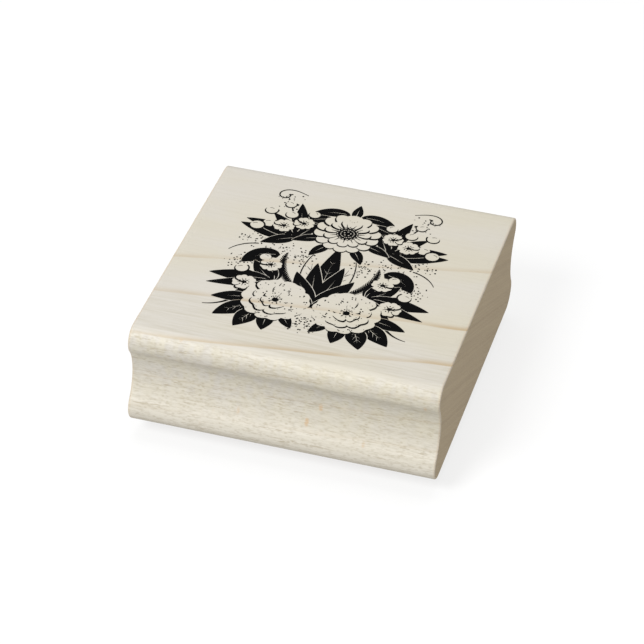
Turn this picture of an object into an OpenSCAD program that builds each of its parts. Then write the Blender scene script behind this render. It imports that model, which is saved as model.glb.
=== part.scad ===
// Wood-mounted rubber stamp: a moulded maple block with an index print on top,
// and under it a foam cushion and a red rubber die, held by two adhesive films.
// The printing face is at z = 0. X runs along the moulding, -Y is the front.

/* [Wood block] */
// Length of the block, along the moulding
block_length = 63.5; // [60:0.5:100]
// Height of the block, from its underside to its top
block_height = 22.8; // [22:0.1:24]
// Depth of the block across its neck, between the two finger coves
neck_depth = 61.6; // [61:0.2:80]
// Radius of the rounded nose along the lower edge
low_nose_r = 3.8; // [3.4:0.1:4]
// Radius of the rounded nose along the upper edge
top_nose_r = 3.25; // [3:0.05:3.5]
// Radius of the cove that the fingers hold
cove_r = 9.5; // [9:0.1:10]
// Height of the cove's centre line above the underside
cove_height = 12; // [11.6:0.1:12.4]

/* [Under the block] */
// Thickness of each adhesive film
film_t = 0.1; // [0.05:0.05:0.2]
// Thickness of the foam cushion
cushion_t = 1.5; // [1:0.1:3]
// Thickness of the rubber behind the raised artwork
die_base_t = 1.2; // [0.8:0.1:2]
// Height of the raised artwork
relief_t = 0.9; // [0.5:0.1:1.2]
// Width of the trimmed die and cushion
die_width = 47; // [47:0.5:52]
// Depth of the trimmed die and cushion
die_depth = 52.6; // [52.6:0.2:54]
// Radius of their trimmed corners
die_corner_r = 3; // [2:0.5:4]
// Distance of the artwork's centre behind the block's centre
art_shift = 0.7; // [0:0.1:1.5]

/* [Artwork] */
// Thickness of the printed ink
ink_t = 0.05; // [0.03:0.01:0.1]
// Width of a drawn line
line_w = 0.45; // [0.35:0.05:0.6]
// Radius of the crown flower, to its petals' middles
crown_r = 4.6; // [4.4:0.1:4.8]
// Radius of each big rose, to its outer petals' middles
rose_r = 4.4; // [4.2:0.1:4.6]
// Radius of a small blossom, to its petals' middles
blossom_r = 1.35; // [1.2:0.05:1.5]

/* [Hidden] */
$fn = 64;

// Levels, from the printing face up
die_top_z = relief_t + die_base_t;
cushion_z = die_top_z + film_t;
mount_film_z = cushion_z + cushion_t;
block_z = mount_film_z + film_t;
block_top_z = block_z + block_height;

// The noses touch the cove; a hair of overlap keeps the outline closed
overlap = 0.005;
cove_y = neck_depth / 2 + cove_r;
low_nose = [cove_y - beside_cove(low_nose_r, cove_height - low_nose_r), low_nose_r];
top_nose_z = block_height - top_nose_r;
top_nose = [cove_y - beside_cove(top_nose_r, top_nose_z - cove_height), top_nose_z];

// Artwork: places are from its own centre, for its right half
crown_y = 12.6;
rose_x = 9.2;
rose_y = -15.4;
fan_y = -11.4;
blossoms = [[12.8, 17.8], [17.2, 13.2], [11.4, 10.6], [12, -1.4], [18.4, -3.6], [13.6, -6.2]];
rib_w = 0.36;
bead_r = 0.5;

// How far in from the cove's centre a nose lies, at the height `rise` from it
function beside_cove(nose_r, rise) = sqrt(pow(nose_r + cove_r - overlap, 2) - pow(rise, 2));

// A point a millimetre past a nose's edge, straight towards the cove's centre
function past_nose(nose, nose_r) =
    let (to_cove = [cove_y, cove_height] - nose)
    nose + to_cove / norm(to_cove) * (nose_r + 1);

module both_sides() {
    children();
    mirror([1, 0]) children();
}

// ---------- Block ----------

// Half of the section's body, from the middle out to the noses' centres
module half_core() {
    polygon([
        [0, 0], [low_nose.x, 0], low_nose, past_nose(low_nose, low_nose_r),
        past_nose(top_nose, top_nose_r), top_nose, [top_nose.x, block_height], [0, block_height]
    ]);
}

// Section across the moulding: an upper and a lower nose, with a cove between
module moulding_section() {
    both_sides() difference() {
        union() {
            half_core();
            translate(low_nose) circle(low_nose_r);
            translate(top_nose) circle(top_nose_r);
        }
        translate([cove_y, cove_height]) circle(cove_r);
    }
}

module wood_block() {
    color([0.87, 0.83, 0.76])
    translate([0, 0, block_z]) rotate([90, 0, 90])
    linear_extrude(height = block_length, center = true) moulding_section();
}

// ---------- Artwork ----------

// A pointed area from the origin along +X, between two equal arcs
module leaf_area(length, width) {
    arc_r = (pow(length, 2) + pow(width, 2)) / (4 * width);
    intersection() {
        translate([length / 2, arc_r - width / 2]) circle(arc_r);
        translate([length / 2, width / 2 - arc_r]) circle(arc_r);
    }
}

// A dark leaf with its midrib left bare
module ribbed_leaf(length, width) {
    difference() {
        leaf_area(length, width);
        translate([length * 0.3, 0]) leaf_area(length * 0.55, rib_w);
    }
}

// A pale leaf, drawn as a line
module pale_leaf(length, width) {
    difference() {
        leaf_area(length, width);
        translate([line_w, 0]) leaf_area(length - 2 * line_w, width - 2 * line_w);
    }
}

// The area that a flower covers, and that area less `inset` all round
module flower_area(count, ring_r, petal_r, inset) {
    circle(ring_r);
    for (i = [0 : count - 1])
        rotate(90 + i * 360 / count) translate([ring_r, 0]) circle(petal_r - inset);
}

// One line round a ring of petals
module petal_line(count, ring_r, petal_r) {
    difference() {
        flower_area(count, ring_r, petal_r, 0);
        flower_area(count, ring_r, petal_r, line_w);
    }
}

// Part of a ring, from the angle `from` counter-clockwise through `sweep`, under 180 degrees
module arc_line(radius, from, sweep) {
    reach = 2 * radius;
    difference() {
        intersection() {
            circle(radius + line_w / 2);
            polygon([
                [0, 0], reach * [cos(from), sin(from)],
                3 * reach * [cos(from + sweep / 2), sin(from + sweep / 2)],
                reach * [cos(from + sweep), sin(from + sweep)]
            ]);
        }
        circle(radius - line_w / 2);
    }
}

// A scroll of two arcs, clockwise from the angle `from`, that meet in a bead and end in another
module scroll(radius, from) {
    sweep = 165;
    gap = 2;
    end = from - sweep;
    arc_line(radius, end + gap, sweep - gap);
    rotate(end) translate([radius, 0]) circle(bead_r);
    tip_r = radius * 0.45;
    translate((radius - tip_r) * [cos(end), sin(end)]) {
        arc_line(tip_r, end - sweep + 3 * gap, sweep - 6 * gap);
        rotate(end - sweep) translate([tip_r, 0]) circle(bead_r);
    }
}

// Leaves that fan out of a round bud, clockwise from the angle `from`, to a distance `reach`
module leaf_fan(count, from, step, reach, width) {
    circle(width * 0.6);
    for (i = [0 : count - 1])
        rotate(from - i * step)
            translate([width * 0.4, 0]) leaf_area(reach - width * 0.4 - 0.3 * i, width);
}

// A row of dots along an arc, each smaller than the one before
module dot_arc(radius, from, step, count) {
    for (i = [0 : count - 1])
        rotate(from + i * step) translate([radius, 0]) circle(0.45 - 0.05 * i);
}

module at_crown() {
    translate([0, crown_y]) children();
}

module at_rose() {
    translate([rose_x, rose_y]) children();
}

module at_blossoms() {
    for (place = blossoms)
        translate(place) children();
}

// Leaves of the right half
module leaf_sprays() {
    translate([0, fan_y]) {
        rotate(90) leaf_area(19, 4.6);
        rotate(68) pale_leaf(17, 5.4);
        leaf_fan(3, 58, 24, 9.6, 3.4);
    }
    for (i = [0 : 3])
        at_crown() rotate(70 - 24 * i) translate([6, 0]) ribbed_leaf(5.6 - 0.5 * i, 3);
    translate([13.4, 14.4]) leaf_fan(6, 112, 29, 8.6, 3);
    translate([12.4, 3.2]) rotate(12) ribbed_leaf(10.4, 4.6);
    translate([13.6, -4.6]) leaf_fan(5, 38, 29, 9, 3.1);
    for (i = [0 : 4])
        at_rose() rotate(2 - 29 * i) translate([6, 0]) ribbed_leaf(7.6 - 0.9 * i, 4.2 - 0.3 * i);
}

// Arcs, scrolls and dots of the right half
module stems_and_scrolls() {
    translate([2.2, -1.2]) arc_line(9.8, -46, 84);
    translate([11.6, 2.4]) arc_line(10.6, 24, 28);
    translate([18.4, 21.9]) scroll(3.4, 150);
    translate([21.2, -13.6]) arc_line(8.8, 222, 58);
    translate([14.2, 14.6]) dot_arc(8.4, -24, -9, 4);
    translate([13.6, -2.4]) dot_arc(9.2, 40, -9, 3);
    translate([0, -16]) dot_arc(5.4, -90, 22, 3);
}

// Dots round the hearts of the crown flower and of a rose
module stamens(radius, count) {
    for (i = [0 : count - 1])
        rotate(90 + i * 360 / count) translate([radius, 0]) circle(0.38);
}

// The whole artwork, upright as it prints
module artwork() {
    translate([0, art_shift]) {
        difference() {
            both_sides() {
                leaf_sprays();
                stems_and_scrolls();
            }
            at_crown() flower_area(8, crown_r, 3, 0);
            both_sides() at_rose() flower_area(5, rose_r, 3.7, 0);
            both_sides() at_blossoms() flower_area(5, blossom_r, 1.2, 0);
        }
        at_crown() {
            petal_line(8, crown_r, 3);
            petal_line(8, crown_r * 0.62, 1.9);
            stamens(2.2, 8);
            circle(1.3);
        }
        both_sides() {
            at_rose() {
                petal_line(5, rose_r, 3.7);
                rotate(36) petal_line(5, rose_r * 0.56, 2.2);
                stamens(1.9, 5);
                circle(1);
            }
            at_blossoms() {
                petal_line(5, blossom_r, 1.2);
                circle(0.5);
            }
        }
    }
}

module index_print() {
    color([0.06, 0.06, 0.06])
    translate([0, 0, block_top_z]) linear_extrude(height = ink_t) artwork();
}

// ---------- Cushion, films and die ----------

// Trimmed outline that the die, the films and the cushion share
module trimmed_outline() {
    translate([0, art_shift]) {
        square([die_width - 2 * die_corner_r, die_depth], center = true);
        square([die_width, die_depth - 2 * die_corner_r], center = true);
        for (x = [-1, 1], y = [-1, 1])
            translate([x * (die_width / 2 - die_corner_r), y * (die_depth / 2 - die_corner_r)])
                circle(die_corner_r);
    }
}

module trimmed_layer(z, thickness) {
    translate([0, 0, z]) linear_extrude(height = thickness) trimmed_outline();
}

module mount_adhesive() {
    color([0.9, 0.88, 0.8]) trimmed_layer(mount_film_z, film_t);
}

module foam_cushion() {
    color([0.86, 0.86, 0.84]) trimmed_layer(cushion_z, cushion_t);
}

module die_adhesive() {
    color([0.9, 0.88, 0.8]) trimmed_layer(die_top_z, film_t);
}

// The relief is the artwork mirrored, so that it prints upright
module rubber_die() {
    color([0.62, 0.25, 0.2]) {
        trimmed_layer(relief_t, die_base_t);
        mirror([1, 0, 0]) linear_extrude(height = relief_t) artwork();
    }
}

wood_block();
index_print();
mount_adhesive();
foam_cushion();
die_adhesive();
rubber_die();
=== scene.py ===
"""Looks of a wood-mounted rubber stamp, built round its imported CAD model.

The block, the index print, the cushion and the die are detailed pieces that stand for their CAD nodes,
and the two adhesive films are the CAD nodes themselves with a finish of their own.
Lengths are in metres, except that the artwork is drawn in millimetres about its own centre, and the
maple's figure is laid out in millimetres too.
"""
import math
import random

import bmesh
import bpy
from mathutils import Matrix, Vector, noise
from mathutils.geometry import delaunay_2d_cdt


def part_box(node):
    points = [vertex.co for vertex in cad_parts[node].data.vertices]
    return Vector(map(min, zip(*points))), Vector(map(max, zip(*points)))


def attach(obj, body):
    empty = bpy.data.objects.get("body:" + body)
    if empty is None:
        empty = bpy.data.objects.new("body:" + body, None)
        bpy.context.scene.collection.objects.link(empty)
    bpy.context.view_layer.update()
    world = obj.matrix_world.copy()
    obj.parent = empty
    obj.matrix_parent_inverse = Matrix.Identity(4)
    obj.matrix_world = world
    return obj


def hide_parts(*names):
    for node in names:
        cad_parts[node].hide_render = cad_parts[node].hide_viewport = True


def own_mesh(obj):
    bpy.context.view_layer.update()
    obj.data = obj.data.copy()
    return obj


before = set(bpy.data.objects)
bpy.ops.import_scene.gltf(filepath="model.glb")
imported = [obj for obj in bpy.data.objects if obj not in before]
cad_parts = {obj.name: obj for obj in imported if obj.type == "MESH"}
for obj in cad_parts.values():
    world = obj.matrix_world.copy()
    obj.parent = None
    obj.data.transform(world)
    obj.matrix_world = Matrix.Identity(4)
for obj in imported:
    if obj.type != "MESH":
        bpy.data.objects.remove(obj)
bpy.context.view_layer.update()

MM = 0.001

# The moulding and the die, as the CAD model has them
LOW_NOSE_R = 3.8 * MM
TOP_NOSE_R = 3.25 * MM
COVE_R = 9.5 * MM
COVE_HEIGHT = 12 * MM
NECK_DEPTH = 61.6 * MM
DIE_CORNER_R = 3 * MM
RELIEF = 0.9 * MM

BLOCK_LOW, BLOCK_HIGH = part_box("wood_block")
INK_LOW, INK_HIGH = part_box("index_print")
FOAM_LOW, FOAM_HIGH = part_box("foam_cushion")
DIE_LOW, DIE_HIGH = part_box("rubber_die")
ART_Y = (DIE_LOW.y + DIE_HIGH.y) / 2


def linear(red, green, blue):
    """A colour given as on a screen, 0 to 255, as the shaders take it."""
    def channel(value):
        value /= 255
        return value / 12.92 if value <= 0.04045 else ((value + 0.055) / 1.055) ** 2.4
    return channel(red), channel(green), channel(blue), 1.0


def new_object(name, mesh, materials):
    """Puts a mesh in the scene, with its materials in their slots."""
    piece = bpy.data.objects.new(name, mesh)
    bpy.context.scene.collection.objects.link(piece)
    for material in materials:
        mesh.materials.append(material)
    return piece


# ---------- Camera, light and floor ----------

CAMERA_AZIMUTH = 14.71      # degrees
CAMERA_ELEVATION = 35.65    # degrees
CAMERA_ROLL = 2.25          # degrees
CAMERA_DISTANCE = 0.5824
CAMERA_LENS = 158.23        # focal length in mm, on a sensor 36 mm wide
AIM_OFFSET = Vector((-0.8, -1.0, -1.1)) * MM    # from the block's centre

LIGHT_TARGET = (0, 0, 0.01)
KEY_PLACE = (-0.34, -0.72, 0.78)
KEY_SIZE = 0.4
KEY_POWER = 11.8
OVERHEAD_PLACE = (-0.05, 0.1, 1.1)
OVERHEAD_SIZE = 0.7
OVERHEAD_POWER = 5.0
WORLD_LIGHT = 0.60
WORLD_COLOUR = (1.0, 0.995, 0.985, 1)
FLOOR_HALF = 1.6
FLOOR_GLOW = 0.76
FLOOR_COLOUR = (0.17, 0.17, 0.17, 1)


def make_camera():
    """A long lens at the front right, looking down at the block."""
    data = bpy.data.cameras.new("camera")
    data.sensor_width = 36
    data.lens = CAMERA_LENS
    data.clip_start, data.clip_end = 0.01, 10
    camera = bpy.data.objects.new("camera", data)
    bpy.context.scene.collection.objects.link(camera)
    turn = Matrix.Rotation(math.radians(CAMERA_AZIMUTH), 4, "Z")
    turn = turn @ Matrix.Rotation(math.radians(90 - CAMERA_ELEVATION), 4, "X")
    turn = turn @ Matrix.Rotation(math.radians(CAMERA_ROLL), 4, "Z")
    aim = (BLOCK_LOW + BLOCK_HIGH) / 2 + AIM_OFFSET
    camera.matrix_world = Matrix.Translation(aim) @ turn @ Matrix.Translation((0, 0, CAMERA_DISTANCE))
    bpy.context.scene.camera = camera


def add_light(name, place, size, power):
    """A round area light that faces the block."""
    data = bpy.data.lights.new(name, "AREA")
    data.shape = "DISK"
    data.size = size
    data.energy = power
    light = bpy.data.objects.new(name, data)
    bpy.context.scene.collection.objects.link(light)
    light.location = place
    light.rotation_euler = (Vector(LIGHT_TARGET) - Vector(place)).to_track_quat("-Z", "Y").to_euler()


def make_floor():
    """A dark table that glows nearly white, which keeps shadows faint."""
    shader = Shader("light_table")
    shader.set("Base Color", FLOOR_COLOUR)
    shader.set("Roughness", 0.9)
    shader.set("Specular IOR Level", 0.0)
    shader.set("Emission Color", (1, 1, 1, 1))
    shader.set("Emission Strength", FLOOR_GLOW)
    corners = [(x * FLOOR_HALF, y * FLOOR_HALF, 0) for x, y in ((-1, -1), (1, -1), (1, 1), (-1, 1))]
    mesh = bpy.data.meshes.new("floor")
    mesh.from_pydata(corners, [], [(0, 1, 2, 3)])
    new_object("floor", mesh, [shader.material])


def make_studio():
    """Even light all round, a key light from the front left, one light overhead, and the floor."""
    world = bpy.data.worlds.new("studio")
    bpy.context.scene.world = world
    world.use_nodes = True
    background = world.node_tree.nodes["Background"]
    background.inputs["Color"].default_value = WORLD_COLOUR
    background.inputs["Strength"].default_value = WORLD_LIGHT
    add_light("key", KEY_PLACE, KEY_SIZE, KEY_POWER)
    add_light("overhead", OVERHEAD_PLACE, OVERHEAD_SIZE, OVERHEAD_POWER)
    make_floor()
    bpy.context.scene.view_settings.view_transform = "Standard"


# ---------- Materials ----------

class Shader:
    """One procedural material. Its methods add nodes and hand back their output sockets."""

    def __init__(self, name):
        self.material = bpy.data.materials.new(name)
        self.material.use_nodes = True
        self.tree = self.material.node_tree
        self.tree.nodes.clear()
        self.surface = self.tree.nodes.new("ShaderNodeBsdfPrincipled")
        output = self.tree.nodes.new("ShaderNodeOutputMaterial")
        self.tree.links.new(self.surface.outputs[0], output.inputs["Surface"])

    def feed(self, socket, value):
        """Links a socket to another node's output, or sets it to a constant."""
        if isinstance(value, bpy.types.NodeSocket):
            self.tree.links.new(value, socket)
        else:
            socket.default_value = value

    def set(self, socket, value):
        """Feeds a socket of the surface itself."""
        self.feed(self.surface.inputs[socket], value)

    def coordinates(self):
        """Places in the model's own frame, in metres."""
        return self.tree.nodes.new("ShaderNodeTexCoord").outputs["Object"]

    def stretched(self, vector, scale):
        """The vector with each of its parts multiplied."""
        node = self.tree.nodes.new("ShaderNodeMapping")
        self.feed(node.inputs["Vector"], vector)
        node.inputs["Scale"].default_value = scale
        return node.outputs[0]

    def split(self, vector):
        """The three parts of a vector."""
        node = self.tree.nodes.new("ShaderNodeSeparateXYZ")
        self.feed(node.inputs[0], vector)
        return node.outputs

    def join(self, x, y, z):
        """A vector made of three parts."""
        node = self.tree.nodes.new("ShaderNodeCombineXYZ")
        for socket, value in zip(node.inputs, (x, y, z)):
            self.feed(socket, value)
        return node.outputs[0]

    def normal(self):
        """The three parts of the direction that the surface faces."""
        return self.split(self.tree.nodes.new("ShaderNodeNewGeometry").outputs["Normal"])

    def math(self, operation, a, b=0.0, c=0.0):
        """One step of arithmetic, by Blender's name for it."""
        node = self.tree.nodes.new("ShaderNodeMath")
        node.operation = operation
        for socket, value in zip(node.inputs, (a, b, c)):
            self.feed(socket, value)
        return node.outputs[0]

    def times(self, a, b):
        return self.math("MULTIPLY", a, b)

    def plus(self, a, b):
        return self.math("ADD", a, b)

    def noise(self, vector, scale, detail=2.0, roughness=0.5):
        """Cloudy noise, from about 0 to 1."""
        node = self.tree.nodes.new("ShaderNodeTexNoise")
        self.feed(node.inputs["Vector"], vector)
        node.inputs["Scale"].default_value = scale
        node.inputs["Detail"].default_value = detail
        node.inputs["Roughness"].default_value = roughness
        return node.outputs[0]

    def cells(self, vector, scale):
        """The distance to the nearest of many scattered points."""
        node = self.tree.nodes.new("ShaderNodeTexVoronoi")
        self.feed(node.inputs["Vector"], vector)
        node.inputs["Scale"].default_value = scale
        return node.outputs["Distance"]

    def spots(self, vector, radius, share):
        """Soft spots, one in each cell of the vector's own unit grid, in the given share of the cells."""
        node = self.tree.nodes.new("ShaderNodeTexVoronoi")
        self.feed(node.inputs["Vector"], vector)
        node.inputs["Scale"].default_value = 1.0
        spot = self.ramp(node.outputs["Distance"], radius, radius * 0.3)
        chosen = self.math("LESS_THAN", self.split(node.outputs["Color"])[0], share)
        return self.times(spot, chosen)

    def ramp(self, value, low, high, to_low=0.0, to_high=1.0):
        """A smooth step from to_low, where the value is low, to to_high, where it is high."""
        node = self.tree.nodes.new("ShaderNodeMapRange")
        node.interpolation_type = "SMOOTHSTEP"
        for socket, item in zip(node.inputs, (value, low, high, to_low, to_high)):
            self.feed(socket, item)
        return node.outputs[0]

    def mix(self, share, a, b):
        """The colour a, with its share of the colour b."""
        node = self.tree.nodes.new("ShaderNodeMix")
        node.data_type = "RGBA"
        self.feed(node.inputs[0], share)
        self.feed(node.inputs[6], a)
        self.feed(node.inputs[7], b)
        return node.outputs[2]

    def bump(self, height, distance, strength):
        """Raises the surface where height is large, by up to the distance."""
        node = self.tree.nodes.new("ShaderNodeBump")
        node.inputs["Strength"].default_value = strength
        node.inputs["Distance"].default_value = distance
        self.feed(node.inputs["Height"], height)
        self.set("Normal", node.outputs[0])


RING_TILT = 2.0             # how much faster the rings pass on a vertical face than on the top
RING_WAVE = 2.4             # how far the rings wander, mm
RING_FRONT = (-0.25, 0.15)  # where a ring's dark edge begins and is full, mm behind its line
RING_FADE = (0.1, 2.6)      # where it starts to fade and is gone, mm
# Each ring's place across the top face at the middle in mm, its slope along the block, and its strength
RINGS = (
    (2.0, 0.237, 0.75),
    (-14.8, 0.097, 1.0),
    (-29.2, 0.16, 0.9),
    (-41.0, 0.10, 0.6),
    (-52.5, 0.08, 0.7),
    (-66.0, 0.09, 0.6),
)

# Rates of change of the figure, per mm along the block, across it and up it
CLOUD_GRAIN = (0.03, 0.08, 0.12)
FIBRE_GRAIN = (0.07, 1.5, 1.5)
HAIR_GRAIN = (0.7, 3.2, 3.2)
MOTTLE_GRAIN = (0.55, 0.28, 0.28)
DASH_GRAIN = (0.85, 1.3, 1.3)
THIN_LINE_GRAIN = (0.018, 0.5, 0.62)
FLECK_GRAIN = (0.42, 0.2, 0.2)
PORE_GRAIN = (0.0, 3.0, 3.6)

MAPLE_WARM = linear(176, 171, 157)
MAPLE_COOL = linear(177, 173, 165)
MAPLE_YELLOW = linear(179, 173, 154)
# also the colour of the painted light on the moulding's lower roll
MAPLE_PALE = linear(187, 182, 170)
MAPLE_DARK = linear(156, 150, 134)
MAPLE_STREAK = linear(160, 143, 116)
# also the colour of the painted shade along the block's lower edge
MAPLE_DASH_AND_SHADE = linear(141, 130, 109)
MAPLE_FLECK = linear(176, 152, 122)
END_PALE = linear(163, 147, 119)
END_DARK = linear(154, 138, 112)
END_RING = linear(128, 110, 86)
WOOD_BUMP = 0.04 * MM


class Maple(Shader):
    """Maple whose figure follows the block. Its coordinates are in millimetres."""

    def __init__(self, name):
        super().__init__(name)
        self.place = self.split(self.stretched(self.coordinates(), (1 / MM, 1 / MM, 1 / MM)))
        self.point = self.join(*self.place)

    def figure(self, grain, detail, roughness=0.5):
        """A noise that changes at the given rates per mm along the block, across it and up it."""
        return self.noise(self.stretched(self.point, grain), 1.0, detail, roughness)

    def growth_lines(self):
        """How strongly the dark edge of a growth ring shows, 0 to 1: sharp in front, fading to the back."""
        x, y, z = self.place
        wave = self.noise(self.join(self.times(x, 0.07), self.times(y, 0.05), z), 1.0, 2)
        depth = self.times(self.math("SUBTRACT", z, BLOCK_HIGH.z / MM), RING_TILT)
        level = self.plus(self.plus(y, depth), self.times(wave, RING_WAVE))
        edge = 0.0
        for start, slope, strength in RINGS:
            line = self.math("MULTIPLY_ADD", x, slope, start + RING_WAVE / 2)
            behind = self.math("SUBTRACT", level, line)
            front = self.ramp(behind, *RING_FRONT)
            fade = self.ramp(behind, *RING_FADE, 1.0, 0.0)
            streak = self.times(self.times(front, self.times(fade, fade)), strength)
            edge = self.math("MAXIMUM", streak, edge)
        return edge


def maple_side():
    """Planed maple along the grain, with short pores and ray flecks on its moulded front and back."""
    wood = Maple("maple_side")
    x, y, z = wood.place
    moulded = wood.ramp(wood.math("ABSOLUTE", wood.normal()[1]), 0.3, 0.8)
    fibre = wood.figure(FIBRE_GRAIN, 5, 0.65)
    hair = wood.figure(HAIR_GRAIN, 3, 0.6)
    mottle = wood.figure(MOTTLE_GRAIN, 3)

    # ground: cool to warm towards the right, yellower on the moulding, and paler towards its foot as
    # painted light on the lower roll
    warm_side = wood.ramp(wood.math("MULTIPLY_ADD", y, 0.4, x), -25, 45, -0.2, 0.25)
    warm = wood.plus(wood.ramp(wood.figure(CLOUD_GRAIN, 3), 0.3, 0.7), warm_side)
    colour = wood.mix(warm, MAPLE_COOL, MAPLE_WARM)
    yellow = wood.times(moulded, wood.ramp(mottle, 0.36, 0.62, 0.0, 0.6))
    colour = wood.mix(yellow, colour, MAPLE_YELLOW)
    # painted light: the moulding paler towards its bottom, on its lower roll and flare
    colour = wood.mix(wood.times(moulded, wood.ramp(z, 18.0, 6.0)), colour, MAPLE_PALE)
    pale_hairs = wood.times(moulded, wood.ramp(hair, 0.52, 0.3, 0.0, 0.5))
    colour = wood.mix(pale_hairs, colour, MAPLE_PALE)

    # fibres: faint on the top, stronger near its front edge and on the moulding
    on_top = wood.ramp(moulded, 0.0, 0.6, 1.0, 0.0)
    near_front = wood.times(wood.ramp(y, -12.0, -24.0, 0.0, 0.36), on_top)
    strength = wood.plus(wood.ramp(moulded, 0.0, 1.0, 0.14, 0.28), near_front)
    colour = wood.mix(wood.times(wood.ramp(fibre, 0.4, 0.72), strength), colour, MAPLE_DARK)

    # growth lines: stronger towards the right, and in patches
    patchy = wood.ramp(wood.noise(wood.point, 0.06, 1), 0.35, 0.65, 0.4, 1.0)
    streak = wood.times(wood.growth_lines(), wood.math("MULTIPLY_ADD", x, 0.006, patchy))
    streak = wood.times(streak, wood.ramp(moulded, 0.0, 1.0, 0.85, 0.3))
    colour = wood.mix(streak, colour, MAPLE_STREAK)

    # pores: short dashes in patches, and fine hairs between them
    dashes = wood.spots(wood.stretched(wood.point, DASH_GRAIN), 0.42, 0.9)
    dashes = wood.times(dashes, wood.ramp(mottle, 0.3, 0.6, 0.12, 0.42))
    pores = wood.math("MAXIMUM", dashes, wood.ramp(hair, 0.46, 0.74, 0.0, 0.45))
    colour = wood.mix(wood.times(pores, wood.ramp(moulded, 0.0, 1.0, 0.1, 1.0)), colour, MAPLE_DASH_AND_SHADE)

    # a few long thin lines, and warm ray flecks
    off_line = wood.math("ABSOLUTE", wood.math("SUBTRACT", wood.figure(THIN_LINE_GRAIN, 2), 0.5))
    broken = wood.times(moulded, wood.ramp(hair, 0.4, 0.55))
    colour = wood.mix(wood.times(wood.ramp(off_line, 0.012, 0.002, 0.0, 0.5), broken), colour, MAPLE_DASH_AND_SHADE)
    flecks = wood.spots(wood.stretched(wood.point, FLECK_GRAIN), 0.26, 0.16)
    flecks = wood.times(flecks, wood.times(moulded, wood.ramp(hair, 0.35, 0.6, 0.3, 0.9)))
    colour = wood.mix(flecks, colour, MAPLE_FLECK)

    # painted shade: the moulding darker towards its lower edge; and warmer beside the sawn ends
    low, end = BLOCK_LOW.z / MM, BLOCK_HIGH.x / MM
    colour = wood.mix(wood.ramp(z, low + 3.6, low + 0.8, 0.0, 0.4), colour, MAPLE_DASH_AND_SHADE)
    sawn = wood.ramp(wood.math("ABSOLUTE", x), end - 0.6, end - 0.1, 0.0, 0.28)
    colour = wood.mix(sawn, colour, MAPLE_FLECK)

    wood.set("Base Color", colour)
    wood.set("Roughness", wood.ramp(fibre, 0.3, 0.7, 0.5, 0.62))
    wood.set("Specular IOR Level", 0.35)
    wood.bump(wood.math("MULTIPLY_ADD", pores, -0.5, fibre), WOOD_BUMP, 0.6)
    return wood.material


def maple_end():
    """Sanded end grain: darker, with fine rings, finer rays across them, and open pores."""
    wood = Maple("maple_end")
    _, y, z = wood.place
    along_ring = wood.math("MULTIPLY_ADD", y, -RING_TILT, z)
    across_rings = wood.math("MULTIPLY_ADD", z, RING_TILT, y)
    rings = wood.noise(wood.join(across_rings, wood.times(along_ring, 0.012), 0.0), 0.62, 4, 0.6)
    rays = wood.noise(wood.join(wood.times(across_rings, 0.05), along_ring, 0.0), 1.5, 2)
    cloud = wood.noise(wood.point, 0.12, 2)
    pores = wood.figure(PORE_GRAIN, 3, 0.75)
    colour = wood.mix(wood.ramp(rings, 0.3, 0.7), END_DARK, END_PALE)
    colour = wood.mix(wood.ramp(cloud, 0.4, 0.8, 0.0, 0.3), colour, END_PALE)
    colour = wood.mix(wood.ramp(rays, 0.55, 0.8, 0.0, 0.35), colour, END_PALE)
    colour = wood.mix(wood.times(wood.growth_lines(), 0.25), colour, END_RING)
    colour = wood.mix(wood.ramp(pores, 0.48, 0.72, 0.0, 0.5), colour, END_RING)
    wood.set("Base Color", colour)
    wood.set("Roughness", wood.ramp(pores, 0.3, 0.7, 0.68, 0.8))
    wood.set("Specular IOR Level", 0.25)
    wood.bump(wood.math("MULTIPLY_ADD", pores, -0.6, rings), WOOD_BUMP, 0.7)
    return wood.material


INK_DEEP = linear(2, 2, 3)
INK_THIN = linear(6, 6, 6)
INK_SPECK = linear(28, 26, 24)
RUBBER_DEEP = linear(150, 58, 44)
RUBBER_LIGHT = linear(166, 70, 54)
RUBBER_BLOOM = linear(190, 120, 104)
FOAM_WALL = linear(226, 225, 220)
# painted shade in the foam's pits
FOAM_SHADED_HOLLOW = linear(200, 199, 194)
FOAM_CLOUD = linear(210, 206, 196)
FILM_LIGHT = linear(226, 216, 190)
FILM_DEEP = linear(214, 202, 172)


def printed_ink():
    """Matt black ink, a little uneven where it soaked into the wood."""
    shader = Shader("printed_ink")
    point = shader.coordinates()
    soak = shader.noise(shader.stretched(point, (400, 4000, 4000)), 1.0, 3)
    speck = shader.noise(point, 9000, 2)
    colour = shader.mix(shader.ramp(soak, 0.35, 0.8), INK_DEEP, INK_THIN)
    colour = shader.mix(shader.ramp(speck, 0.68, 0.76, 0.0, 0.4), colour, INK_SPECK)
    shader.set("Base Color", colour)
    shader.set("Roughness", shader.ramp(soak, 0.3, 0.7, 0.5, 0.62))
    shader.set("Specular IOR Level", 0.03)
    shader.bump(soak, 0.01 * MM, 0.5)
    return shader.material


def gum_rubber():
    """Moulded red rubber: faint mottling and a dusty bloom."""
    shader = Shader("gum_rubber")
    point = shader.coordinates()
    mottle = shader.noise(point, 260, 4, 0.6)
    bloom = shader.noise(point, 70, 3)
    grain = shader.noise(point, 5200, 2)
    colour = shader.mix(shader.ramp(mottle, 0.3, 0.7), RUBBER_DEEP, RUBBER_LIGHT)
    colour = shader.mix(shader.ramp(bloom, 0.5, 0.8, 0.0, 0.25), colour, RUBBER_BLOOM)
    shader.set("Base Color", colour)
    shader.set("Roughness", shader.ramp(mottle, 0.3, 0.7, 0.45, 0.6))
    shader.set("Specular IOR Level", 0.4)
    shader.bump(grain, 0.02 * MM, 0.6)
    return shader.material


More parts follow.
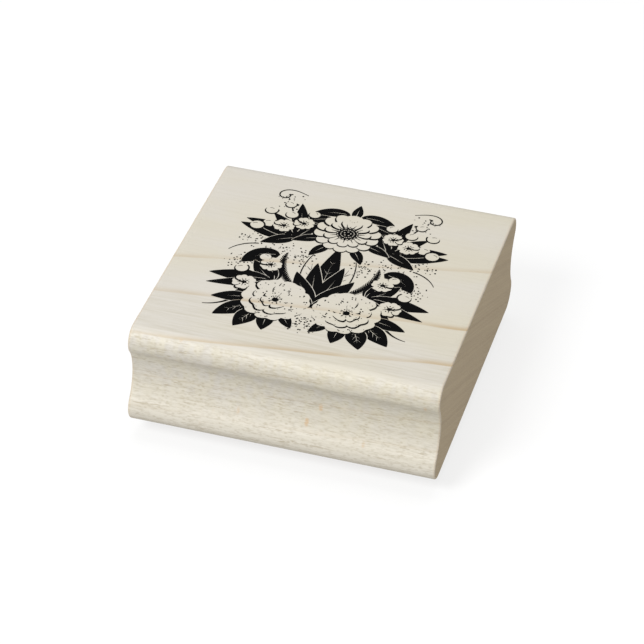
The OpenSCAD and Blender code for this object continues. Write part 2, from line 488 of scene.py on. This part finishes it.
def cushion_foam():
    """Closed-cell foam, its cut cells showing as fine pits, with painted shade in them."""
    shader = Shader("cushion_foam")
    point = shader.coordinates()
    cells = shader.cells(point, 3600)
    cloud = shader.noise(point, 300, 3)
    # painted shade: darker where the cells' bump sinks
    colour = shader.mix(shader.ramp(cells, 0.1, 0.7), FOAM_WALL, FOAM_SHADED_HOLLOW)
    colour = shader.mix(shader.ramp(cloud, 0.4, 0.8, 0.0, 0.3), colour, FOAM_CLOUD)
    shader.set("Base Color", colour)
    shader.set("Roughness", 0.85)
    shader.set("Sheen Weight", 0.2)
    shader.bump(shader.times(cells, -1.0), 0.1 * MM, 0.8)
    return shader.material


def adhesive_film():
    """Clear double-sided film, slightly yellow, with a soft shine."""
    shader = Shader("adhesive_film")
    point = shader.coordinates()
    flow = shader.noise(shader.stretched(point, (120, 500, 500)), 1.0, 3)
    shader.set("Base Color", shader.mix(shader.ramp(flow, 0.3, 0.7), FILM_LIGHT, FILM_DEEP))
    shader.set("Roughness", shader.ramp(flow, 0.3, 0.7, 0.18, 0.32))
    shader.set("Transmission Weight", 0.35)
    shader.bump(flow, 0.01 * MM, 0.4)
    return shader.material


# ---------- Artwork, in millimetres about its own centre ----------

HALO = 0.168                # width of the bare gap left round a dark leaf
SHADE = (0.16, -0.30)       # how far the drawn shadow of a petal or a berry peeps out from under it
SWELL = 0.35                # how much a stroke widens in its middle, as a share of its width
FINEST_TIP = 0.12           # a stroke's narrowest end, as a share of its width
# Widths of lines
VEIN = 0.1
MIDRIB = 0.15
HATCH = 0.16
SLIT = 0.18
HAIRLINE = 0.2
PALE_MIDRIB = 0.22
STEM = 0.34
CURL = 0.36
FERN_LINE = 0.42
SEED = 7
# Each ring of petals: how many, then their start, length and width in flower radii, then their hairlines
ROSE_RINGS = ((7, 0.24, 0.76, 0.84, 3), (5, 0.1, 0.6, 0.74, 2), (4, 0.04, 0.36, 0.48, 1))
CROWN_RINGS = ((14, 0.3, 0.7, 0.44, 2), (11, 0.24, 0.46, 0.32, 1))


class Art:
    """Flat artwork in painter's order: later shapes cover earlier ones, and each has a mirrored twin."""

    def __init__(self, seed):
        self.shapes = []
        self.rng = random.Random(seed)

    def add(self, points, ink):
        """A filled outline, inked or bare, and its twin across the middle line."""
        self.shapes.append((points, ink))
        self.shapes.append(([(-x, y) for x, y in reversed(points)], ink))

    def dot(self, x, y, r, ink=True):
        """A round spot, of fewer sides where it is tiny."""
        sides = 7 if r < 0.3 else 14
        self.add([(x + r * math.cos(a), y + r * math.sin(a)) for a in turns(sides)], ink)

    def stroke(self, line, width, ink=True, start=1.0, end=0.25):
        """A line that swells in its middle; start and end are its ends' shares of the width."""
        last = len(line) - 1
        widths = []
        for i in range(len(line)):
            t = i / last
            ends = start + (end - start) * t
            widths.append(width / 2 * max(ends, FINEST_TIP) * (1 + SWELL * math.sin(math.pi * t)))
        self.add(ribbon(line, widths), ink)


def turns(count):
    """Angles in radians, evenly round a full turn."""
    return [2 * math.pi * i / count for i in range(count)]


def polar(centre, angle, reach):
    """The point `reach` from the centre, in the direction `angle` in degrees."""
    a = math.radians(angle)
    return centre[0] + reach * math.cos(a), centre[1] + reach * math.sin(a)


def heading(line, i):
    """The direction in degrees of a line at its point i."""
    (ax, ay), (bx, by) = line[i], line[i + 1]
    return math.degrees(math.atan2(by - ay, bx - ax))


def ribbon(line, widths):
    """The outline of a line with a half-width at each of its points."""
    left, right = [], []
    for i, (x, y) in enumerate(line):
        ax, ay = line[max(i - 1, 0)]
        bx, by = line[min(i + 1, len(line) - 1)]
        d = math.hypot(bx - ax, by - ay) or 1.0
        nx, ny = -(by - ay) / d, (bx - ax) / d
        left.append((x + nx * widths[i], y + ny * widths[i]))
        right.append((x - nx * widths[i], y - ny * widths[i]))
    return left + right[::-1]


def sweep(start, angle, length, bend, steps=12):
    """Points along a curve that leaves `start` at `angle` degrees and turns through `bend` degrees."""
    x, y = start
    a = math.radians(angle)
    line = [(x, y)]
    for _ in range(steps):
        x += math.cos(a) * length / steps
        y += math.sin(a) * length / steps
        a += math.radians(bend) / steps
        line.append((x, y))
    return line


def leaf(art, start, angle, length, width, bend=0, veins=0):
    """A solid pointed leaf with a fine bare midrib and, on a large one, fine bare side veins."""
    mid = sweep(start, angle, length, bend, 18)
    last = len(mid) - 1
    widths = [width / 2 * math.sin(math.pi * (i / last) ** 0.85) ** 0.8 * (1 - 0.3 * i / last) + 0.02
              for i in range(last)] + [0.02]
    art.add(ribbon(mid, [w + HALO for w in widths]), False)
    art.add(ribbon(mid, widths), True)
    art.stroke(mid[2:last - 4], MIDRIB, False, 1.0, 0.2)
    for v in range(veins):
        i = 4 + 3 * v
        for side in (-1, 1):
            vein = sweep(mid[i], heading(mid, i) + side * 42, widths[i] * 0.8, -side * 18, 4)
            art.stroke(vein, VEIN, False, 1.0, 0.2)


def pale_leaf(art, start, angle, length, width, bend=0):
    """A bare leaf, drawn by the shadow along its lower side, a midrib and hatching."""
    mid = sweep(start, angle, length, bend, 16)
    last = len(mid) - 1
    widths = [width / 2 * math.sin(math.pi * i / last) ** 0.85 + 0.02 for i in range(last + 1)]
    art.add(ribbon(mid, [w + 0.14 for w in widths]), True)
    art.add([(x - 0.1, y + 0.16) for x, y in ribbon(mid, [max(w - 0.02, 0.02) for w in widths])], False)
    art.stroke(mid[1:last - 2], PALE_MIDRIB, True, 1.0, 0.2)
    for i in range(3, last - 3, 2):
        hatch = sweep(mid[i], heading(mid, i) - 38, widths[i] * 0.85, 14, 4)
        art.stroke(hatch, HATCH, True, 1.0, 0.2)


def petal_outline(centre, angle, inner, length, width, notch=0.0, wave=0.0, phase=0.0):
    """A rounded petal that starts `inner` from the flower's centre."""
    cx, cy = centre
    ca, sa = math.cos(math.radians(angle)), math.sin(math.radians(angle))
    points = []
    steps = 22
    for i in range(steps + 1):
        s = i / steps
        a = math.pi * (2 * s - 1)
        reach = 0.5 * (1 + math.cos(a))
        u = inner + length * reach ** 0.8 * (1 - notch * math.exp(-(a / 0.28) ** 2))
        u += wave * math.sin(5 * a + phase) * reach
        v = width / 2 * math.sin(-a) * (0.62 + 0.38 * reach) * 1.12
        points.append((cx + u * ca - v * sa, cy + u * sa + v * ca))
    return points[:-1]


def petal(art, centre, angle, inner, length, width, hairs=3, **shape):
    """A bare petal, its shadow showing along its lower side, with a few hairlines from its base."""
    outline = petal_outline(centre, angle, inner, length, width, **shape)
    depth = 0.75 + 0.5 * math.sin(angle * 2.7) ** 2
    art.add([(x + SHADE[0] * depth, y + SHADE[1] * depth) for x, y in outline], True)
    art.add([(x - 0.04, y + 0.05) for x, y in outline], False)
    for h in range(hairs):
        spread = (h - (hairs - 1) / 2) * 13
        span = length * (0.46 - 0.07 * abs(h - (hairs - 1) / 2))
        hair = sweep(polar(centre, angle, inner * 1.25), angle + spread, span, spread * 0.4, 5)
        art.stroke(hair, HAIRLINE, True, 1.0, 0.1)


def stipple(art, centre, inner, outer, count, size=0.14, arc=(0, 360)):
    """Fine dots scattered in a ring, closer together towards its middle."""
    for _ in range(count):
        angle = art.rng.uniform(*arc)
        reach = inner + (outer - inner) * art.rng.uniform(0, 1) ** 0.8
        art.dot(*polar(centre, angle, reach), size * art.rng.uniform(0.55, 1.5))


def blossom(art, centre, radius, turn=0):
    """A small five-petalled flower."""
    for i in range(5):
        petal(art, centre, turn + 90 + 72 * i, radius * 0.1, radius * 0.92, radius * 1.02, 1, notch=0.1)
    art.dot(*centre, radius * 0.2)
    for i in range(5):
        art.dot(*polar(centre, turn + 54 + 72 * i, radius * 0.4), 0.14)


def rose(art, centre, radius, turn):
    """A big open flower: three rings of petals round a dark heart."""
    for ring, (count, inner, length, width, hairs) in enumerate(ROSE_RINGS):
        for i in range(count):
            angle = turn + 23 * ring + 360 / count * i
            petal(art, centre, angle, radius * inner, radius * length, radius * width, hairs,
                  notch=0.08, wave=0.012 * radius, phase=i)
    art.dot(*centre, 0.7)
    for i in range(9):
        art.dot(*polar(centre, 40 * i, 1.25), 0.15)
    stipple(art, centre, 2.2, radius * 0.9, 60, 0.12)


def crown(art, centre, radius):
    """The flower at the head of the bouquet: two rings of slender petals round a dotted disc."""
    for ring, (count, inner, length, width, hairs) in enumerate(CROWN_RINGS):
        for i in range(count):
            angle = 90 + 360 / count * (i + 0.5 * ring)
            petal(art, centre, angle, radius * inner, radius * length, radius * width, hairs)
    art.dot(*centre, radius * 0.34)
    for ring in range(1, 4):
        for i in range(5 * ring):
            art.dot(*polar(centre, 23 * ring + 360 / (5 * ring) * i, 0.7 * ring), 0.15, False)


def berry(art, start, angle, length, bend, radius):
    """A stem that ends in a bare round bud with a dark cap under it and a slit across its top."""
    line = sweep(start, angle, length, bend, 10)
    art.stroke(line, STEM, True, 1.0, 0.8)
    at = line[-1]
    along = heading(line, len(line) - 2)
    cap = [polar(at, along + 180 + 14 * i, radius * 1.22) for i in range(-5, 6)]
    art.add(cap + [polar(at, along, radius * 0.4)], True)
    x, y = at[0] + SHADE[0], at[1] + SHADE[1]
    art.add([(x + radius * math.cos(a), y + radius * math.sin(a)) for a in turns(16)], True)
    art.dot(*at, radius, False)
    slit = sweep(polar(at, along + 70, radius * 0.5), along - 20, radius * 0.75, -60, 4)
    art.stroke(slit, SLIT, True, 0.4, 0.2)


def fern(art, start, angle, length, bend, reach):
    """A stem with short pointed leaflets along both sides."""
    line = sweep(start, angle, length, bend, 22)
    art.stroke(line, FERN_LINE, True, 1.0, 0.3)
    last = len(line) - 1
    for i in range(2, last):
        size = reach * math.sin(math.pi * (0.15 + 0.85 * i / last)) ** 0.7
        for side in (-1, 1):
            leaflet = sweep(line[i], heading(line, i) + side * 52, size, -side * 20, 4)
            art.stroke(leaflet, FERN_LINE, True, 1.0, 0.1)


def scroll(art, start, angle, length, turn):
    """A curl that tightens towards its end."""
    x, y = start
    a = math.radians(angle)
    line = [start]
    steps = 34
    for i in range(steps):
        x += math.cos(a) * length / steps
        y += math.sin(a) * length / steps
        a += math.radians(turn) * 2 * (i / steps) ** 1.2 / steps * 1.15
        line.append((x, y))
    art.stroke(line, CURL, True, 0.35, 0.75)
    art.dot(x, y, 0.3)


def bouquet():
    """A mirrored bouquet: a crown flower and two roses, with sprays of leaves, buds and blossoms."""
    art = Art(SEED)
    crown_at, rose_at, fan_at = (0.0, 13.2), (7.4, -14.2), (0.0, -14.6)
    spray_at, side_at = (9.6, 8.6), (9.8, -8.2)

    # furthest back: curls, an arching frond on each side and loose dots
    scroll(art, (11.6, 24.4), 24, 11.5, -330)
    art.stroke(sweep((16.4, 4.0), -12, 6.8, -52, 14), 0.85, True, 0.3, 0.15)
    art.stroke(sweep((14.8, -13.6), -80, 9.4, 74, 16), 0.62, True, 1.0, 0.2)
    stipple(art, (14.6, 21.4), 0.3, 3.4, 34)
    stipple(art, (16.8, 6.6), 0.3, 4.4, 60)
    stipple(art, (10.6, 3.4), 0.3, 3.6, 40)
    stipple(art, (18.4, -3.2), 0.3, 3.2, 40)
    stipple(art, (0.0, -20.6), 0.3, 3.4, 40)

    # upper sprays
    leaf(art, (0.0, 19.0), 90, 5.2, 2.6)
    for i in range(3):
        leaf(art, (1.2 + 2.8 * i, 20.0 - 2.6 * i), 10 - 16 * i, 8.6, 3.4, -52)
    for angle, length, width, bend in ((2, 12.8, 4.6, 14), (26, 12.6, 4.2, -18), (52, 10.2, 3.6, -12),
                                       (84, 12.8, 3.8, -10), (-26, 7.8, 3.6, -10), (112, 7.0, 3.0, 10)):
        leaf(art, spray_at, angle, length, width, bend)
    for angle, length, bend, size in ((102, 9.4, -10, 1.2), (72, 12.4, -8, 1.1), (62, 8.6, 12, 1.3),
                                      (42, 11.4, 10, 1.3), (36, 7.8, -20, 1.4), (14, 9.4, -4, 1.45)):
        berry(art, spray_at, angle, length, bend, size)

    # side leaves and side sprays
    leaf(art, (11.0, 1.4), -8, 8.8, 5.6, -58, 2)
    for angle, length, width, bend in ((92, 6.0, 2.8, -8), (66, 7.6, 3.4, 10), (40, 8.4, 3.8, 16),
                                       (2, 13.2, 4.8, -10), (-20, 13.4, 3.4, 4), (-48, 9.0, 3.0, 10)):
        leaf(art, side_at, angle, length, width, bend)
    for angle, length, bend, size in ((80, 7.4, -14, 1.15), (58, 8.8, 14, 1.2), (24, 7.8, -8, 1.35)):
        berry(art, side_at, angle, length, bend, size)

    # leaves round the roses
    for angle, length, width, bend in ((-8, 8.0, 3.8, -12), (-34, 8.6, 4.9, -16), (-60, 7.4, 4.9, -14),
                                       (-90, 5.7, 3.9, -6), (-122, 5.2, 2.9, -6)):
        leaf(art, polar(rose_at, angle, 5.0), angle, length, width, bend, 3 if width > 4.5 else 0)

    # centre: a frond and a pale leaf on each side, then the dark stem leaf and its fan
    pale_leaf(art, fan_at, 71, 19.0, 4.4, 12)
    fern(art, (5.0, -8.6), 36, 13.0, 66, 1.4)
    leaf(art, fan_at, 90, 22.4, 5.8, 0, 4)
    for angle, length, width in ((76, 15.8, 4.6), (58, 12.8, 4.8), (38, 9.8, 4.4)):
        leaf(art, fan_at, angle, length, width, 8)

    # leaves under the crown
    for angle, length in ((-14, 6.4), (-46, 6.0)):
        leaf(art, polar(crown_at, angle - 20, 5.6), angle, length, 2.8, -24)
    stipple(art, (6.4, 1.6), 0.3, 3.0, 34)

    # flowers over everything
    for x, y, size, turn in ((13.4, 12.0, 2.3, 20), (9.6, 14.0, 2.2, 50),
                             (15.2, -10.2, 2.5, 40), (11.8, -2.6, 2.3, 10)):
        blossom(art, (x, y), size, turn)
    rose(art, rose_at, 7.2, 12)
    crown(art, crown_at, 7.0)
    return art


# ---------- Wood block ----------

EDGE_EASE = 0.32 * MM       # how far the sawn ends' edges are sanded off
EASE_UNEVEN = 0.4           # how far the hand sanding varies, as a share of that
EASE_STEPS = 5
LENGTH_STEPS = 56
NOSE_STEPS = 28
COVE_STEPS = 34
FLAT_STEPS = 24


def arc(centre, radius, start, end, steps, hollow=False):
    """(point, outward normal) pairs along an arc in the section, between two angles in degrees."""
    found = []
    for i in range(steps + 1):
        a = math.radians(start + (end - start) * i / steps)
        out = Vector((math.cos(a), math.sin(a)))
        found.append((centre + out * radius, -out if hollow else out))
    return found


def straight(start, end, normal, steps):
    """(point, outward normal) pairs between two points of the section, without its ends."""
    return [(start.lerp(end, i / steps), Vector(normal)) for i in range(1, steps)]


def moulding_section():
    """The section, counter-clockwise: (point, outward normal), in y and height above the underside."""
    height = BLOCK_HIGH.z - BLOCK_LOW.z
    cove = Vector((NECK_DEPTH / 2 + COVE_R, COVE_HEIGHT))

    def nose(radius, z):
        return Vector((cove.x - math.sqrt((radius + COVE_R) ** 2 - (z - COVE_HEIGHT) ** 2), z))

    def angle_to_cove(centre):
        return math.degrees(math.atan2(cove.y - centre.y, cove.x - centre.x))

    low, top = nose(LOW_NOSE_R, LOW_NOSE_R), nose(TOP_NOSE_R, height - TOP_NOSE_R)
    to_low, to_top = angle_to_cove(low), angle_to_cove(top)
    back = arc(low, LOW_NOSE_R, -90, to_low, NOSE_STEPS)
    back += arc(cove, COVE_R, 180 + to_low, 180 + to_top, COVE_STEPS, hollow=True)[1:-1]
    back += arc(top, TOP_NOSE_R, to_top, 90, NOSE_STEPS)
    front = [(Vector((-p.x, p.y)), Vector((-n.x, n.y))) for p, n in reversed(back)]
    return (back + straight(back[-1][0], front[0][0], (0, 1), FLAT_STEPS)
            + front + straight(front[-1][0], back[0][0], (0, -1), FLAT_STEPS))


def block_points(section):
    """Points of the block, ring after ring along X, with the eased edge in several rings at each end."""
    half = (BLOCK_HIGH.x - BLOCK_LOW.x) / 2
    points = []

    def add_eased_ring(end, turn):
        """A ring of the easing at one end: turn is 0 on the end face and 90 on the side."""
        a = math.radians(turn)
        for (y, z), out in section:
            ease = EDGE_EASE * (1 + EASE_UNEVEN * noise.noise((y * 300, z * 300, end * 7.0)))
            spot = Vector((y, z)) - out * ease * (1 - math.sin(a))
            points.append((end * (half - ease * (1 - math.cos(a))), spot.x, spot.y + BLOCK_LOW.z))

    for i in range(EASE_STEPS + 1):
        add_eased_ring(-1, 90 * i / EASE_STEPS)
    for i in range(1, LENGTH_STEPS):
        x = (2 * i / LENGTH_STEPS - 1) * (half - 2 * EDGE_EASE)
        points.extend((x, p.x, p.y + BLOCK_LOW.z) for p, _ in section)
    for i in range(EASE_STEPS + 1):
        add_eased_ring(1, 90 - 90 * i / EASE_STEPS)
    return points


def closed_tube(name, points, count):
    """A mesh of rings of `count` points each, joined in order, whose last two faces close its ends."""
    rings = len(points) // count
    faces = []
    for ring in range(rings - 1):
        a, b = ring * count, (ring + 1) * count
        for i in range(count):
            j = (i + 1) % count
            faces.append((a + i, a + j, b + j, b + i))
    faces.append(tuple(range(count - 1, -1, -1)))
    faces.append(tuple(range((rings - 1) * count, rings * count)))
    mesh = bpy.data.meshes.new(name)
    mesh.from_pydata(points, [], faces)
    return mesh


def wood_block():
    """The moulding, with sawn ends whose edges are just eased by sanding."""
    section = moulding_section()
    mesh = closed_tube("block", block_points(section), len(section))
    for face in mesh.polygons[:-2]:
        face.use_smooth = True
    piece = new_object("block", mesh, [maple_side(), maple_end()])
    for face in mesh.polygons[-2:]:
        face.material_index = 1
    bm = bmesh.new()
    bm.from_mesh(mesh)
    bmesh.ops.recalc_face_normals(bm, faces=bm.faces)
    bmesh.ops.triangulate(bm, faces=[f for f in bm.faces if len(f.verts) > 4])
    bm.to_mesh(mesh)
    bm.free()
    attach(piece, "mount")
    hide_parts("wood_block")


# ---------- Print and die ----------

WELD = 0.0005               # artwork points closer than this are one, mm
BRIDGE = 0.02               # half-width of the ink that joins areas meeting at a point, mm
BANDS = 14                  # strips that the artwork is merged in


def rounded_outline(width, depth, radius, steps=10):
    """A rounded rectangle about its own centre, counter-clockwise."""
    points = []
    for quarter, (sx, sy) in enumerate(((1, 1), (-1, 1), (-1, -1), (1, -1))):
        for i in range(steps + 1):
            a = math.pi / 2 * (quarter + i / steps)
            points.append((sx * (width / 2 - radius) + radius * math.cos(a),
                           sy * (depth / 2 - radius) + radius * math.sin(a)))
    return points


def turned_left(outline):
    """The outline, counter-clockwise."""
    area = sum(ax * by - bx * ay for (ax, ay), (bx, by) in zip(outline, outline[1:] + outline[:1]))
    return outline if area > 0 else outline[::-1]


def band_of(bm, shapes, low, high):
    """Adds to bm the flat faces of the shapes' right half between two heights, inked ones as material 1."""
    def reaches_band(points):
        xs, ys = zip(*points)
        return max(xs) > 0 and max(ys) > low and min(ys) < high

    here = [(turned_left(points), ink) for points, ink in shapes if reaches_band(points)]
    far = 100
    points = [Vector(p) for p in ((0, low), (far, low), (far, high), (0, high))]
    outlines = [[0, 1, 2, 3]]
    for outline, _ in here:
        outlines.append(list(range(len(points), len(points) + len(outline))))
        points.extend(Vector(p) for p in outline)
    merged = delaunay_2d_cdt(points, [], outlines, 0, WELD / 10, True)
    spots, faces, covered_by = merged[0], merged[2], merged[5]
    verts = {}
    for corners, covers in zip(faces, covered_by):
        top = max(covers, default=0)
        if 0 not in covers or top == 0:
            continue
        for c in corners:
            if c not in verts:
                verts[c] = bm.verts.new((*spots[c], 0))
        bm.faces.new([verts[c] for c in corners]).material_index = int(here[top - 1][1])


def bridge_pinches(bm):
    """Where inked areas meet at a single point, a tiny inked face joins them."""
    def rims(vert):
        return sum(len({f.material_index for f in edge.link_faces}) > 1 for edge in vert.link_edges)

    pinched = [v for v in bm.verts if not v.is_boundary and rims(v) > 2]
    made = bmesh.ops.bevel(bm, geom=pinched, offset=BRIDGE, offset_type="OFFSET",
                           affect="VERTICES", segments=1)
    for face in made["faces"]:
        face.material_index = 1


def add_mirrored(bm):
    """Adds to bm its own mirror image across the YZ plane."""
    twin = bm.copy()
    bmesh.ops.scale(twin, vec=(-1, 1, 1), verts=twin.verts)
    bmesh.ops.reverse_faces(twin, faces=twin.faces)
    other = bpy.data.meshes.new("twin")
    twin.to_mesh(other)
    bm.from_mesh(other)
    bpy.data.meshes.remove(other)
    twin.free()


def plan_of(art):
    """The artwork on the die's sheet as one flat plan: its points in metres, its inked and its bare faces.

    The right half is merged in bands, which is quick, and mirrored.
    """
    size = (DIE_HIGH - DIE_LOW) / MM
    shapes = [(rounded_outline(size.x, size.y, DIE_CORNER_R / MM), False)] + art.shapes
    bm = bmesh.new()
    for i in range(BANDS):
        band_of(bm, shapes, size.y * (i / BANDS - 0.5), size.y * ((i + 1) / BANDS - 0.5))
    add_mirrored(bm)
    bmesh.ops.remove_doubles(bm, verts=bm.verts, dist=WELD)
    bm.normal_update()
    bmesh.ops.dissolve_limit(bm, angle_limit=math.radians(0.5), verts=bm.verts, edges=bm.edges,
                             delimit={"MATERIAL"})
    bridge_pinches(bm)
    bmesh.ops.triangulate(bm, faces=bm.faces)
    bm.verts.index_update()
    plan_points = [v.co.to_2d() * MM + Vector((0, ART_Y)) for v in bm.verts]
    inked = [[v.index for v in f.verts] for f in bm.faces if f.material_index]
    bare = [[v.index for v in f.verts] for f in bm.faces if not f.material_index]
    bm.free()
    return plan_points, inked, bare


def rim(faces):
    """The edges, in face order, that only one of these faces has."""
    edges = {}
    for face in faces:
        for a, b in zip(face, face[1:] + face[:1]):
            edges[a, b] = True
    return [(a, b) for a, b in edges if (b, a) not in edges]


def layered_mesh(name, points, levels):
    """A closed mesh over a plan, in levels: ("face", faces, height) or ("wall", rim, height, height)."""
    verts, index, faces = [], {}, []

    def vert(i, z):
        if (i, z) not in index:
            index[i, z] = len(verts)
            verts.append((points[i].x, points[i].y, z))
        return index[i, z]

    for kind, items, *heights in levels:
        if kind == "face":
            faces.extend([vert(i, heights[0]) for i in face] for face in items)
        else:
            z_a, z_b = heights
            faces.extend([vert(a, z_a), vert(b, z_a), vert(b, z_b), vert(a, z_b)] for a, b in items)
    mesh = bpy.data.meshes.new(name)
    mesh.from_pydata(verts, [], faces)
    bm = bmesh.new()
    bm.from_mesh(mesh)
    bmesh.ops.recalc_face_normals(bm, faces=bm.faces)
    bm.to_mesh(mesh)
    bm.free()
    return mesh


def index_print(plan):
    """The artwork as a film of ink on the block's top."""
    points, inked, _ = plan
    low, high = INK_LOW.z, INK_HIGH.z
    mesh = layered_mesh("print", points, [
        ("face", inked, high), ("wall", rim(inked), high, low), ("face", inked, low)])
    piece = new_object("print", mesh, [printed_ink()])
    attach(piece, "mount")
    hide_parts("index_print")


def rubber_die(plan):
    """The moulded die: the artwork, which is its own mirror image, stands out of a trimmed sheet."""
    points, inked, bare = plan
    face, floor, top = DIE_LOW.z, DIE_LOW.z + RELIEF, DIE_HIGH.z
    everything = inked + bare
    mesh = layered_mesh("die", points, [
        ("face", inked, face), ("wall", rim(inked), face, floor), ("face", bare, floor),
        ("wall", rim(everything), floor, top), ("face", everything, top)])
    piece = new_object("die", mesh, [gum_rubber()])
    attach(piece, "die")
    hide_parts("rubber_die")


# ---------- Cushion and films ----------

FOAM_LAYERS = 8
FOAM_STEP = 0.5 * MM        # distance between the foam's points along its edge
FOAM_WAIST = 0.22 * MM      # how far its cut sides draw in at half height
FOAM_INSET = 0.03 * MM      # how far inside the trimmed outline it stays
FOAM_PIT = 0.07 * MM        # half the depth of its cut cells
FOAM_CELL_GRAIN = 2600      # rate of change of those, per metre


def subdivided(outline, step):
    """The outline with more points, about `step` apart."""
    dense = []
    for (ax, ay), (bx, by) in zip(outline, outline[1:] + outline[:1]):
        pieces = max(1, round(math.hypot(bx - ax, by - ay) / step))
        dense.extend((ax + (bx - ax) * i / pieces, ay + (by - ay) * i / pieces) for i in range(pieces))
    return dense


def foam_cushion():
    """Closed-cell foam whose knife-cut sides draw in a little and show their cells."""
    size = FOAM_HIGH - FOAM_LOW
    centre = (FOAM_LOW + FOAM_HIGH) / 2
    edge = subdivided(rounded_outline(size.x, size.y, DIE_CORNER_R, 8), FOAM_STEP)
    points = []
    for layer in range(FOAM_LAYERS + 1):
        t = layer / FOAM_LAYERS
        z = FOAM_LOW.z + size.z * t
        bulk = math.sin(math.pi * t)
        for x, y in edge:
            cell = noise.noise((x * FOAM_CELL_GRAIN, y * FOAM_CELL_GRAIN, z * FOAM_CELL_GRAIN)) + 1
            shrink = 1 - (FOAM_INSET + (FOAM_WAIST + FOAM_PIT * cell) * bulk) / math.hypot(x, y)
            points.append((centre.x + x * shrink, centre.y + y * shrink, z))
    mesh = closed_tube("cushion", points, len(edge))
    piece = new_object("cushion", mesh, [cushion_foam()])
    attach(piece, "mount")
    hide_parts("foam_cushion")
    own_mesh(piece)


def adhesive_films():
    """The two films keep their CAD shape."""
    film = adhesive_film()
    for name in ("mount_adhesive", "die_adhesive"):
        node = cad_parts[name]
        node.data.materials.clear()
        node.data.materials.append(film)


make_camera()
make_studio()
wood_block()
artwork = plan_of(bouquet())
index_print(artwork)
rubber_die(artwork)
foam_cushion()
adhesive_films()
